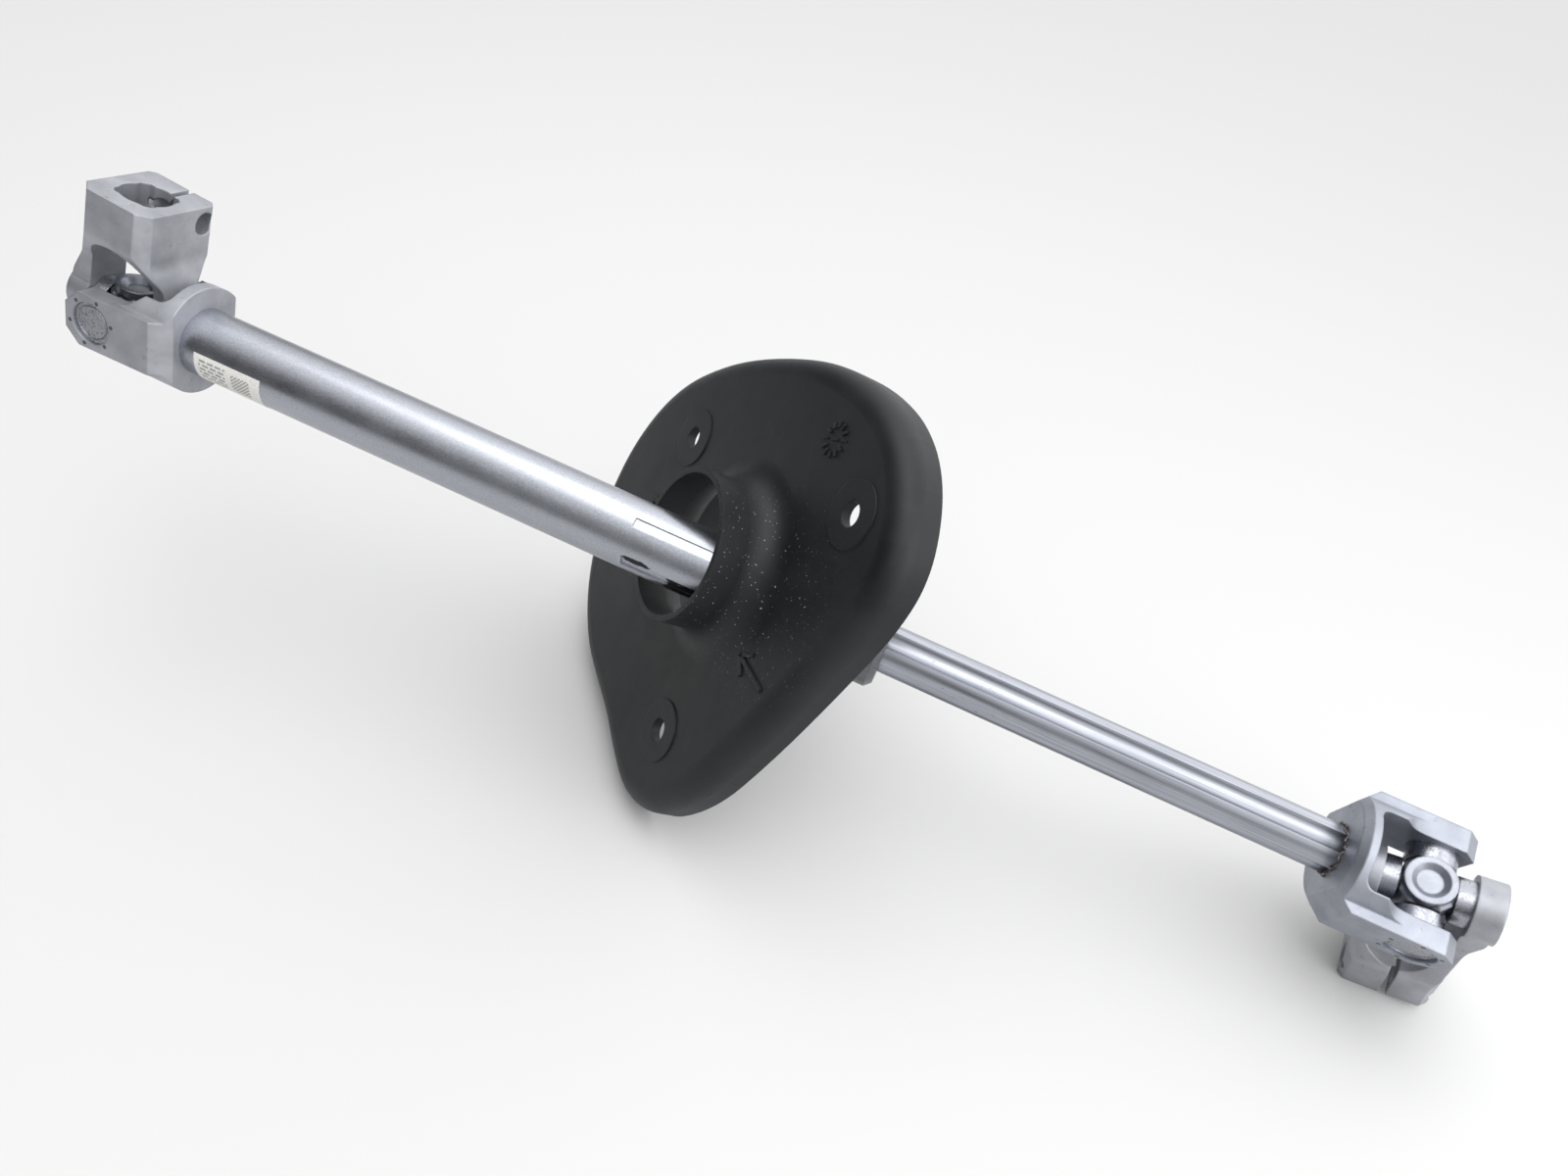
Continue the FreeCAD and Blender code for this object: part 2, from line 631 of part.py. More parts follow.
bind(flute, Length=f"({shaft_end}) - shaft_inner_end + 2")
doc.recompute()
polar_pattern(inner, flute, "flutes", "flute_count")
nodes["inner_shaft"] = inner

# Snap ring that meets the glide sleeve when the shaft is drawn out
ring_in = "shaft_diameter / 2 - stop_ring_depth + press_play"
ring_out = "stop_ring_diameter / 2"
ring_start = "shaft_inner_end + stop_ring_setback + slide_play"
nodes["stop_ring"] = turned_body("stop_ring", [
    (ring_start, ring_in), (f"{ring_start} + stop_ring_width", ring_in),
    (f"{ring_start} + stop_ring_width", ring_out), (ring_start, ring_out),
])

# Pressed steel cap over the tube's end, and the rubber wiper behind its face
lip = "shaft_diameter / 2 + slide_play"
cap_back = "tube_end - cap_skirt"
cap_front = "tube_end + cap_face"
nodes["tube_end_cap"] = turned_body("tube_end_cap", [
    (cap_back, "tube_diameter / 2 + press_play"), (cap_back, "cap_diameter / 2"),
    (f"{cap_front} - cap_chamfer", "cap_diameter / 2"), (cap_front, "cap_diameter / 2 - cap_chamfer"),
    (cap_front, lip), ("tube_end + press_play", lip),
    ("tube_end + press_play", "tube_diameter / 2 + press_play"),
])
nodes["wiper_seal"] = turned_body("wiper_seal", [
    ("tube_end - wiper_width", lip), ("tube_end - wiper_width", "tube_bore / 2 - press_play"),
    ("tube_end", "tube_bore / 2 - press_play"), ("tube_end", lip),
])

# Paper label on the upper end of the tube
label_in = size("tube_diameter") / 2
label_ring = along_x(label_in + size("label_thickness"), size("label_start"), size("label_length")).cut(
    along_x(label_in, size("label_start") - 1, size("label_length") + 2))
first, last = math.radians(size("label_first_angle")), math.radians(size("label_last_angle"))
wedge_points = [V(size("label_start") - 1, 0, 0)] + [
    V(size("label_start") - 1, -40 * math.sin(a), 40 * math.cos(a))
    for a in (first, (first + last) / 2, last)]
wedge_face = Part.Face(Part.makePolygon(wedge_points + [wedge_points[0]]))
wedge = wedge_face.extrude(V(size("label_length") + 2, 0, 0))
nodes["tube_label"] = feature("tube_label", label_ring.common(wedge))


# Rubber boot, drawn with its plate's front face in the XY plane and its mouth towards +Z

BOOT_OUTLINE = [  # Shares of the boot's width and height, anticlockwise from the right corner
    (0.424, 0.139), (0.333, 0.328), (0.119, 0.428), (-0.167, 0.428), (-0.419, 0.339),
    (-0.567, 0.111), (-0.552, -0.167), (-0.438, -0.333), (-0.248, -0.456), (-0.067, -0.561),
    (0.105, -0.467), (0.229, -0.306), (0.362, -0.083),
]
BOOT_ARC_TOLERANCE = 0.5

outline_curve = Part.BSplineCurve()
outline_curve.interpolate([V(x * size("boot_width"), y * size("boot_height"), 0) for x, y in BOOT_OUTLINE],
                          PeriodicFlag=True)
outline = Part.Wire(Part.__sortEdges__([arc.toShape() for arc in outline_curve.toBiArcs(BOOT_ARC_TOLERANCE)]))
wall, depth, rim = size("boot_wall"), size("boot_rim_depth"), size("boot_rim_radius")
outside = Part.Face(outline).extrude(V(0, 0, -depth))
outside = outside.makeFillet(rim, edges_that(outside, lambda e, m: near(m.z, 0)))
inside = Part.Face(outline.makeOffset2D(-wall)).extrude(V(0, 0, -depth))
inside.translate(V(0, 0, -wall))
inside = inside.makeFillet(rim - wall, edges_that(inside, lambda e, m: near(m.z, -wall)))

mouth, neck_wall = size("mouth_diameter") / 2, size("mouth_wall")
height, flare = size("collar_height"), size("collar_flare")
centre = V(mouth + flare, 0, flare)
diagonal = math.sqrt(0.5)
outer_wall = [
    Part.LineSegment(V(mouth, 0, height), V(mouth, 0, flare)),
    Part.Arc(V(mouth, 0, flare), centre + V(-flare * diagonal, 0, -flare * diagonal), V(mouth + flare, 0, 0)),
]
inner_flare = flare + neck_wall
inner_wall = [
    Part.LineSegment(V(mouth + flare, 0, -neck_wall), V(mouth + flare, 0, 0)),
    Part.Arc(V(mouth - neck_wall, 0, flare),
             centre + V(-inner_flare * diagonal, 0, -inner_flare * diagonal),
             V(mouth + flare, 0, -neck_wall)),
    Part.LineSegment(V(mouth - neck_wall, 0, flare), V(mouth - neck_wall, 0, height)),
    Part.LineSegment(V(mouth - neck_wall, 0, height), V(mouth, 0, height)),
]
collar_section = Part.Wire(Part.__sortEdges__([c.toShape() for c in outer_wall + inner_wall]))
collar = Part.Face(collar_section).revolve(V(0, 0, 0), Z_AXIS, 360)
opening_radius = mouth + flare - 0.5
opening = Part.makeCylinder(opening_radius, wall + 2, V(0, 0, -wall - 1))
lip_ring = Part.makeCylinder(opening_radius + size("back_lip_wall"), depth, V(0, 0, -depth)).cut(
    Part.makeCylinder(opening_radius, depth, V(0, 0, -depth)))
back_lip = lip_ring.common(Part.makeBox(BIG, BIG, BIG, V(-BIG, -BIG / 2, -BIG / 2)))

hole_ring = size("boot_hole_circle") / 2
hole_angles = [math.radians(size("boot_hole_turn") + 120 * k) for k in range(3)]
hole_places = [V(hole_ring * math.cos(a), hole_ring * math.sin(a), 0) for a in hole_angles]
rings = [Part.makeCylinder(size("boot_ring_diameter") / 2, size("boot_ring_rise") + wall / 2,
                           p - V(0, 0, wall / 2)) for p in hole_places]
drills = [Part.makeCylinder(size("boot_hole_diameter") / 2, 4 * wall, p - V(0, 0, 2 * wall))
          for p in hole_places]
pan = outside.cut(inside).cut(opening)
boot_shape = pan.multiFuse([collar, back_lip] + rings).cut(drills[0].multiFuse(drills[1:]))
nodes["rubber_boot"] = feature("rubber_boot", boot_shape.Solids[0])


# Assembly: where each piece sits in the shaft frame, and the shaft's attitude at rest

def turn(axis, angle):
    """A placement that only turns."""
    return FreeCAD.Placement(V(0, 0, 0), FreeCAD.Rotation(axis, angle))


def move(x, y, z):
    """A placement that only moves."""
    return FreeCAD.Placement(V(x, y, z), FreeCAD.Rotation())


upper_end = turn(X_AXIS, size("upper_ear_angle"))
upper_middle = upper_end * turn(Z_AXIS, 90 - size("upper_fold"))
lower_end = move(size("joint_spacing"), 0, 0) * turn(X_AXIS, size("lower_ear_angle"))
lower_middle = lower_end * turn(Z_AXIS, 90 - size("lower_fold"))
lower_hub = lower_middle * turn(X_AXIS, 180 - size("lower_swing"))
lower_base = lower_end * turn(Z_AXIS, 180)
flutes_turn = turn(X_AXIS, -size("flute_turn"))
recess_turn = turn(X_AXIS, -size("recess_turn"))
boot_turn = (turn(Z_AXIS, size("boot_yaw")) * turn(Y_AXIS, size("boot_lean") - 90)
             * turn(Z_AXIS, size("boot_roll")))
boot_seat = (move(size("boot_position"), 0, 0) * boot_turn
             * move(size("boot_drop"), size("boot_lift"), -size("collar_height")))

PLACES = {
    "upper_tube_yoke": upper_end, "upper_tube_yoke_cups": upper_end, "upper_tube_yoke_seals": upper_end,
    "upper_tube_yoke_needles": upper_end, "upper_cross": upper_middle, "upper_clamp_yoke": upper_middle,
    "upper_clamp_yoke_cups": upper_middle, "upper_clamp_yoke_seals": upper_middle,
    "upper_clamp_yoke_needles": upper_middle,
    "outer_tube": recess_turn, "tube_end_cap": recess_turn, "wiper_seal": flutes_turn,
    "glide_sleeve": flutes_turn,
    "inner_shaft": flutes_turn, "stop_ring": flutes_turn, "tube_label": move(0, 0, 0),
    "rubber_boot": boot_seat,
    "lower_shaft_yoke": lower_base, "lower_shaft_yoke_cups": lower_end, "lower_shaft_yoke_seals": lower_end,
    "lower_shaft_yoke_needles": lower_end, "lower_cross": lower_middle, "lower_clamp_yoke": lower_hub,
    "lower_clamp_yoke_cups": lower_middle, "lower_clamp_yoke_seals": lower_middle,
    "lower_clamp_yoke_needles": lower_middle,
}
assert set(PLACES) == set(nodes)

doc.recompute()
attitude = turn(Y_AXIS, size("rest_pitch")) * turn(X_AXIS, size("rest_roll"))
placed = []
for name, thing in nodes.items():
    final = attitude * PLACES[name]
    shape = thing.Shape.copy()
    shape.Placement = final * shape.Placement
    placed.append(shape)
bounds = placed[0].BoundBox
for shape in placed[1:]:
    bounds.add(shape.optimalBoundingBox(False))
ground = move(-bounds.Center.x, -bounds.Center.y, -bounds.ZMin)

for name, thing in nodes.items():
    thing.Label = name
    thing.Placement = ground * attitude * PLACES[name] * thing.Placement
doc.recompute()

failed = [thing.Name for thing in doc.Objects if "Invalid" in thing.State or "Error" in thing.State]
if failed:
    raise RuntimeError("features that did not build: " + ", ".join(failed))
for name, thing in nodes.items():
    if thing.Shape.isNull() or not thing.Shape.isValid():
        raise RuntimeError("not a sound solid: " + name)

os.makedirs("parts", exist_ok=True)
for name, thing in nodes.items():
    thing.Shape.exportStep(f"parts/{name}.step")
sides = (bounds.XLength, bounds.YLength, bounds.ZLength)
print("pieces", len(nodes), "box", [round(side, 1) for side in sides])
print("ground", ground.Base)
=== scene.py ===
import json
import math

import bmesh
import bpy
from mathutils import Matrix, Vector


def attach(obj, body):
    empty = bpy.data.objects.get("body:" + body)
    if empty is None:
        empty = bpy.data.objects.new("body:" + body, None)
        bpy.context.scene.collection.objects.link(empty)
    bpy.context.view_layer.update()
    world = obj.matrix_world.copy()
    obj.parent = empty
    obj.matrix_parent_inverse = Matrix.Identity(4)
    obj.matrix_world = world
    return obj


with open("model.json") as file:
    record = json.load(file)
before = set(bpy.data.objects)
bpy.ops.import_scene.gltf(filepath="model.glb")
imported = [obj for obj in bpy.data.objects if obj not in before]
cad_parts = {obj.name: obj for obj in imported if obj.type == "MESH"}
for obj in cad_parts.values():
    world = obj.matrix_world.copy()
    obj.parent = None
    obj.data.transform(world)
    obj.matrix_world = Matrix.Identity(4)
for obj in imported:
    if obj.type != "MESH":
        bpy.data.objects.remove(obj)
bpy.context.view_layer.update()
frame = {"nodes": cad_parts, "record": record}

# Viewpoint of the photograph: about 40 cm above the boot, with a wide lens, so that the shaft
# falls away to the lower right. It was fitted on the joints and the tube in the shaft's own
# frame, in millimetres: X along the shaft, Y up in the picture and Z towards the camera.
MM = 0.001
UPPER_EAR_TURN = math.radians(32)
joints = {joint["name"]: joint for joint in frame["record"]["behaviour"]["joints"]}
upper_centre = Vector(joints["upper_fold"]["pos_m"])
lower_centre = Vector(joints["lower_fold"]["pos_m"])
along = (lower_centre - upper_centre).normalized()
ear_axis = Vector(joints["upper_fold"]["axis"]).normalized()
across = along.cross(ear_axis)
upward = -math.sin(UPPER_EAR_TURN) * ear_axis - math.cos(UPPER_EAR_TURN) * across
outward = along.cross(upward)
shaft_axes = Matrix((along, upward, outward)).transposed().to_4x4()
shaft_frame = Matrix.Translation(upper_centre) @ shaft_axes @ Matrix.Scale(MM, 4)

LENS_PIXELS, PHOTO_WIDTH, SENSOR_WIDTH = 1169, 1600, 36
NEAREST_SEEN, FARTHEST_SEEN = 0.01, 20
EYE = Vector((322.6, 0, 403))
LOOK_RIGHT = Vector((0.9054, 0.4106, -0.1082))
LOOK_UP = Vector((-0.4063, 0.9117, 0.0607))
camera_data = bpy.data.cameras.new("photo_camera")
camera = bpy.data.objects.new("photo_camera", camera_data)
bpy.context.scene.collection.objects.link(camera)
camera_data.sensor_width = SENSOR_WIDTH
camera_data.lens = SENSOR_WIDTH * LENS_PIXELS / PHOTO_WIDTH
camera_data.clip_start, camera_data.clip_end = NEAREST_SEEN, FARTHEST_SEEN
look = Matrix((LOOK_RIGHT, LOOK_UP, LOOK_RIGHT.cross(LOOK_UP))).transposed().to_4x4()
camera.matrix_world = Matrix.Translation(shaft_frame @ EYE) @ shaft_axes @ look
bpy.context.scene.camera = camera
bpy.context.scene.view_settings.view_transform = "Standard"


# Table: a matt white sheet that runs out of the picture on all sides, under one big soft light
# behind the shaft, a smaller one to its right and a faint one in front. The walls are bright
# behind and to the right and dark to the left, which keeps the steel's flanks dark.
def srgb(code):
    """A colour written as #rrggbb, turned to linear values."""
    parts = (int(code[i:i + 2], 16) / 255 for i in (1, 3, 5))
    return (*(c / 12.92 if c <= 0.04045 else ((c + 0.055) / 1.055) ** 2.4 for c in parts), 1)


def node(tree, kind, inputs=(), **settings):
    """Adds one node with its settings, and fills or links its inputs, by name or in order."""
    new = tree.nodes.new("ShaderNode" + kind)
    for name, value in settings.items():
        setattr(new, name, value)
    for socket, value in inputs.items() if isinstance(inputs, dict) else enumerate(inputs):
        if isinstance(value, bpy.types.Node):
            value = next(output for output in value.outputs if output.enabled)
        if isinstance(value, bpy.types.NodeSocket):
            tree.links.new(value, new.inputs[socket])
        else:
            new.inputs[socket].default_value = value
    return new


SHEET_WHITE, SHEET_REACH = srgb("#c4c4c4"), 6
floor_mesh = bpy.data.meshes.new("table_sheet")
floor_mesh.from_pydata([(x * SHEET_REACH, y * SHEET_REACH, 0)
                        for x, y in ((-1, -1), (1, -1), (1, 1), (-1, 1))], [], [(0, 1, 2, 3)])
floor = bpy.data.objects.new("table_sheet", floor_mesh)
bpy.context.scene.collection.objects.link(floor)
paper = bpy.data.materials.new("matt white paper")
paper.use_nodes = True
tree = paper.node_tree
tree.nodes.clear()
node(tree, "OutputMaterial", {"Surface": node(tree, "BsdfDiffuse", {"Color": SHEET_WHITE})})
floor_mesh.materials.append(paper)

BRIGHT_SIDE = Vector((0.58, 0.74, 0.34))
WALL_DARK, WALL_BRIGHT = 0.08, 2.0
DARK_BELOW, BRIGHT_ABOVE = -0.1, 0.55
world = bpy.data.worlds.new("pale room")
bpy.context.scene.world = world
world.use_nodes = True
tree = world.node_tree
tree.nodes.clear()
room = node(tree, "TexCoord").outputs["Generated"]
behind = node(tree, "VectorMath", (room, shaft_axes.to_3x3() @ BRIGHT_SIDE), operation="DOT_PRODUCT")
walls = node(tree, "MapRange", (behind, DARK_BELOW, BRIGHT_ABOVE, WALL_DARK, WALL_BRIGHT))
glow = node(tree, "Background", {"Color": srgb("#ffffff"), "Strength": walls})
node(tree, "OutputWorld", {"Surface": glow})

for name, place, target, size, power in (
        ("back softbox", (120, 620, 600), (230, 0, 0), (1.1, 0.5), 3.2),
        ("side softbox", (820, 160, 420), (250, 0, 0), (0.5, 0.6), 1.3),
        ("front card", (60, -380, 680), (250, 0, 0), (0.6, 0.5), 0.2),
):
    lamp_data = bpy.data.lights.new(name, "AREA")
    lamp_data.shape = "RECTANGLE"
    lamp_data.size, lamp_data.size_y = size
    lamp_data.energy = power
    lamp = bpy.data.objects.new(name, lamp_data)
    bpy.context.scene.collection.objects.link(lamp)
    lamp.location = shaft_frame @ Vector(place)
    aim = shaft_frame @ Vector(target) - lamp.location
    lamp.rotation_euler = aim.to_track_quat("-Z", "Y").to_euler()


# Outer tube: drawn steel tube, zinc plated, 26 mm across. The plating gives a satin mottle half
# a millimetre wide over faint draw lines, which are drawn coarser than they are, and old grease
# lies on it near the boot.
def new_finish(name):
    """An empty material and its nodes."""
    material = bpy.data.materials.new(name)
    material.use_nodes = True
    material.node_tree.nodes.clear()
    return material, material.node_tree


def coat(tree, **values):
    """Closes a finish with one shader, given its plain values and its patterns."""
    shader = node(tree, "BsdfPrincipled",
                  {name.replace("_", " "): value for name, value in values.items()})
    node(tree, "OutputMaterial", {"Surface": shader})


def dress(material, *names):
    """Gives a material to whole CAD nodes."""
    for name in names:
        mesh = frame["nodes"][name].data
        mesh.materials.clear()
        mesh.materials.append(material)
        for face in mesh.polygons:
            face.material_index = 0


def place_in(tree, piece_frame):
    """Places for a pattern in a frame, in millimetres."""
    back = piece_frame.inverted()
    return node(tree, "Mapping", {
        "Vector": node(tree, "TexCoord").outputs["Object"], "Location": back.translation,
        "Rotation": back.to_euler("XYZ"), "Scale": (1 / MM,) * 3,
    })


def angle_round(tree, axes):
    """The angle round the tube, from the side that faces the camera."""
    downward = node(tree, "Math", (axes.outputs["Y"], -1.0), operation="MULTIPLY")
    return node(tree, "Math", (downward, axes.outputs["Z"]), operation="ARCTAN2")


def within(tree, value, low, high, soft):
    """1 where a value lies between two limits, with soft ends."""
    rising = node(tree, "MapRange", (value, low, low + soft))
    falling = node(tree, "MapRange", (value, high - soft, high, 1.0, 0.0))
    return node(tree, "Math", (rising, falling), operation="MULTIPLY")


BEVEL_SAMPLES = 4


def relief(tree, height, rise, edge=0.0):
    """A pattern's height in millimetres, and sharp edges rounded by a radius."""
    inputs = {"Height": height, "Distance": rise * MM, "Strength": 1.0}
    if edge:
        inputs["Normal"] = node(tree, "Bevel", {"Radius": edge * MM}, samples=BEVEL_SAMPLES)
    return node(tree, "Bump", inputs)


ZINC_LIGHT, ZINC_DARK, GREASE = srgb("#afb2b9"), srgb("#999ca4"), srgb("#191817")
MOTTLE_WIDTH, CLOUD_WIDTH, DRAW_LINE_GAP, SMEAR_LUMP = 0.55, 14.0, 0.35, 2.6
DRAW_STRETCH, SMEAR_STRETCH = (0.02, 1, 1), (0.45, 1, 1)
NOISE_SPAN = (0.3, 0.7)  # nearly all values of a noise lie between these
SATIN_ROUGH, MOTTLE_ROUGH, GREASE_ROUGH = (0.26, 0.34), (0.0, 0.07), 0.12
MOTTLE_SHARE, PLATING_RISE, TUBE_EDGE = 0.6, 0.012, 0.3
SMEARS = ((209, 234, 28, 62), (226, 260, 36, 84), (234, 250, -66, -44))
SMEAR_END, SMEAR_SIDE, SMEAR_FROM, SMEAR_FULL, SMEAR_COVER = 9.0, 0.22, 1.28, 1.38, 0.93
zinc, tree = new_finish("zinc-plated drawn steel")
place = place_in(tree, shaft_frame)
spots = node(tree, "TexNoise", {"Vector": place, "Scale": 1 / MOTTLE_WIDTH, "Detail": 2.0,
                                "Roughness": 0.55})
clouds = node(tree, "TexNoise", {"Vector": place, "Scale": 1 / CLOUD_WIDTH, "Detail": 3.0,
                                 "Roughness": 0.55})
drawn_out = node(tree, "Mapping", {"Vector": place, "Scale": DRAW_STRETCH})
lines = node(tree, "TexNoise", {"Vector": drawn_out, "Scale": 1 / DRAW_LINE_GAP, "Detail": 3.0,
                                "Roughness": 0.55})
pulled = node(tree, "Mapping", {"Vector": place, "Scale": SMEAR_STRETCH})
ragged = node(tree, "TexNoise", {"Vector": pulled, "Scale": 1 / SMEAR_LUMP, "Detail": 4.0,
                                 "Roughness": 0.7})
axes = node(tree, "SeparateXYZ", (place,))
angle = angle_round(tree, axes)
grease = 0.0
for start, end, low, high in SMEARS:
    lengthwise = within(tree, axes.outputs["X"], start, end, SMEAR_END)
    sideways = within(tree, angle, math.radians(low), math.radians(high), SMEAR_SIDE)
    inside = node(tree, "Math", (lengthwise, sideways), operation="MULTIPLY")
    torn = node(tree, "Math", (inside, ragged), operation="ADD")
    smear = node(tree, "MapRange", (torn, SMEAR_FROM, SMEAR_FULL))
    grease = node(tree, "Math", (grease, smear), operation="MAXIMUM")
mottle = node(tree, "MapRange", (spots, *NOISE_SPAN))
plating = node(tree, "Mix", {0: mottle, 6: ZINC_DARK, 7: ZINC_LIGHT}, data_type="RGBA")
cover = node(tree, "Math", (grease, SMEAR_COVER), operation="MULTIPLY")
satin = node(tree, "Math", (node(tree, "MapRange", (clouds, *NOISE_SPAN, *SATIN_ROUGH)),
                            node(tree, "MapRange", (spots, *NOISE_SPAN, *MOTTLE_ROUGH))),
             operation="ADD")
dulled = node(tree, "Math", (grease, GREASE_ROUGH), operation="MULTIPLY")
faint = node(tree, "Math", (spots, MOTTLE_SHARE), operation="MULTIPLY")
texture = node(tree, "Math", (faint, lines), operation="ADD")
coat(tree, Metallic=1.0,
     Base_Color=node(tree, "Mix", {0: cover, 6: plating, 7: GREASE}, data_type="RGBA"),
     Roughness=node(tree, "Math", (satin, dulled), operation="ADD"),
     Normal=relief(tree, texture, PLATING_RISE, TUBE_EDGE))
dress(zinc, "outer_tube")


# Label: white self-adhesive paper, printed with plain grey bars and a plain grid. It is matt
# beside the plating, and its fibres, drawn coarse enough to show, have yellowed a little.
PAPER_WHITE, PAPER_YELLOWED, PRINT = srgb("#e4e4e2"), srgb("#c9c7c0"), srgb("#55565a")
TUBE_RADIUS, FIBRE_WIDTH, FIBRE_RISE, PRINT_EDGE, INK_COVER = 13.0, 0.4, 0.01, 0.1, 0.75
NOISE_MIDDLE = (0.35, 0.65)
BAR_LENGTH, BAR_PITCH, BAR_GAP, BAR_SHIFT = 3.4, 1.7, 0.42, 0.37
FULL_BAR, FAINT_BAR, NO_BAR = (1, 1, 1, 1), (0.85, 0.85, 0.85, 1), (0, 0, 0, 1)
BARS_ALONG, BARS_ROUND = (39.5, 51.0), (7.2, 17.5)
GRID_ALONG, GRID_ROUND, GRID_SQUARES_PER_MM = (53.5, 61.5), (8.0, 16.0), 1.4
label_paper, tree = new_finish("white label paper")
place = place_in(tree, shaft_frame)
axes = node(tree, "SeparateXYZ", (place,))
girth = node(tree, "Math", (angle_round(tree, axes), TUBE_RADIUS), operation="MULTIPLY")
flat = node(tree, "CombineXYZ", (axes.outputs["X"], girth))
bars = node(tree, "TexBrick", {
    "Vector": flat, "Color1": FULL_BAR, "Color2": FAINT_BAR, "Mortar": NO_BAR, "Scale": 1.0,
    "Mortar Size": BAR_GAP, "Mortar Smooth": PRINT_EDGE, "Brick Width": BAR_LENGTH,
    "Row Height": BAR_PITCH,
}, offset=BAR_SHIFT, squash=1.0)
grid = node(tree, "TexChecker", {"Vector": flat, "Scale": GRID_SQUARES_PER_MM}).outputs["Fac"]
ink = 0.0
for pattern, part_along, part_round in ((bars, BARS_ALONG, BARS_ROUND),
                                        (grid, GRID_ALONG, GRID_ROUND)):
    field = node(tree, "Math", (within(tree, axes.outputs["X"], *part_along, PRINT_EDGE),
                                within(tree, girth, *part_round, PRINT_EDGE)), operation="MULTIPLY")
    printed = node(tree, "Math", (field, pattern), operation="MULTIPLY")
    ink = node(tree, "Math", (ink, printed), operation="MAXIMUM")
fibre = node(tree, "TexNoise", {"Vector": place, "Scale": 1 / FIBRE_WIDTH, "Detail": 3.0,
                                "Roughness": 0.55})
sheet = node(tree, "Mix", {0: node(tree, "MapRange", (fibre, *NOISE_MIDDLE)),
                           6: PAPER_YELLOWED, 7: PAPER_WHITE}, data_type="RGBA")
inked = node(tree, "Math", (ink, INK_COVER), operation="MULTIPLY")
coat(tree, Roughness=0.6, Normal=relief(tree, fibre, FIBRE_RISE),
     Base_Color=node(tree, "Mix", {0: inked, 6: sheet, 7: PRINT}, data_type="RGBA"))
dress(label_paper, "tube_label")


# Yokes: hot-forged steel, shot-blasted and coated matt silver-grey. Blasting leaves a grain of
# about half a millimetre, the forging edges are round, and dirt has settled in small patches.
# The lower fork isn't coated as thickly, so it looks more like bare satin steel.
FORGING_DIRT, DIRT_PATCH, FORGING_CLOUD, FORGED_EDGE = srgb("#55524f"), 3.0, 11.0, 0.9
DIRT_FROM, DIRT_FULL, DIRT_COVER, DIRT_ROUGH, BLAST_ROUGH = 0.62, 0.74, 0.45, 0.2, 0.14
MODEL_FRAME = Matrix.Scale(MM, 4)


def forged(name, light, dark, metallic, rough, grain, rise):
    """A blasted forging with a soft mottle, patches of dirt and rounded edges."""
    material, tree = new_finish(name)
    place = place_in(tree, MODEL_FRAME)
    fine = node(tree, "TexNoise", {"Vector": place, "Scale": 1 / grain, "Detail": 4.0,
                                   "Roughness": 0.6})
    broad = node(tree, "TexNoise", {"Vector": place, "Scale": 1 / FORGING_CLOUD, "Detail": 3.0,
                                    "Roughness": 0.55})
    patches = node(tree, "TexNoise", {"Vector": place, "Scale": 1 / DIRT_PATCH, "Detail": 5.0,
                                      "Roughness": 0.7})
    dirt = node(tree, "MapRange", (patches, DIRT_FROM, DIRT_FULL))
    mottle = node(tree, "Mix", {0: node(tree, "MapRange", (broad, *NOISE_SPAN)), 6: dark, 7: light},
                  data_type="RGBA")
    soiled = node(tree, "Math", (dirt, DIRT_COVER), operation="MULTIPLY")
    blasting = node(tree, "MapRange", (fine, *NOISE_SPAN, rough, rough + BLAST_ROUGH))
    dulled = node(tree, "Math", (dirt, DIRT_ROUGH), operation="MULTIPLY")
    coat(tree, Metallic=metallic,
         Base_Color=node(tree, "Mix", {0: soiled, 6: mottle, 7: FORGING_DIRT}, data_type="RGBA"),
         Roughness=node(tree, "Math", (blasting, dulled), operation="ADD"),
         Normal=relief(tree, fine, rise, FORGED_EDGE))
    return material


coated = forged("matt silver-coated forging", srgb("#a9abb1"), srgb("#93959b"), 0.7, 0.4, 0.5, 0.05)
dress(coated, "upper_tube_yoke", "upper_clamp_yoke", "lower_clamp_yoke")
blasted = forged("satin blasted forging", srgb("#9da1aa"), srgb("#898d96"), 0.85, 0.38, 0.4, 0.04)
dress(blasted, "lower_shaft_yoke")


# Crosses: forged steel, left as forged on the body, turned in the dish and ground on the
# journals. The upper one keeps the darker colours. The lower one has a lighter copy of them,
# which is painted light on its face towards the camera.
darker_cross = forged("darker forged steel", srgb("#8d9099"), srgb("#676a72"), 0.95, 0.3, 0.6, 0.03)
dress(darker_cross, "upper_cross")
# Lighter copy of the forging colours: painted light for the lower cross's face towards the camera.
painted_lighter_cross = forged("forged steel painted lighter", srgb("#a2a5ae"), srgb("#8b8e97"), 0.9, 0.36, 0.6, 0.03)
dress(painted_lighter_cross, "lower_cross")


# Bearing cups, needles and stop ring: hardened steel, ground bright. Damp has pitted the upper
# joint's cups with small rust spots, which are dark and dull, and the lower ones are cleaner.
RUST, PIT_WIDTH, STAIN_WIDTH = srgb("#3f3733"), 0.9, 6.0
PIT_FROM, PIT_FULL, PIT_RISE, CUP_ROUGH, CUP_EDGE = 0.54, 0.64, -0.05, (0.27, 0.7), 0.4
YOKES = ("upper_tube_yoke", "upper_clamp_yoke", "lower_shaft_yoke", "lower_clamp_yoke")


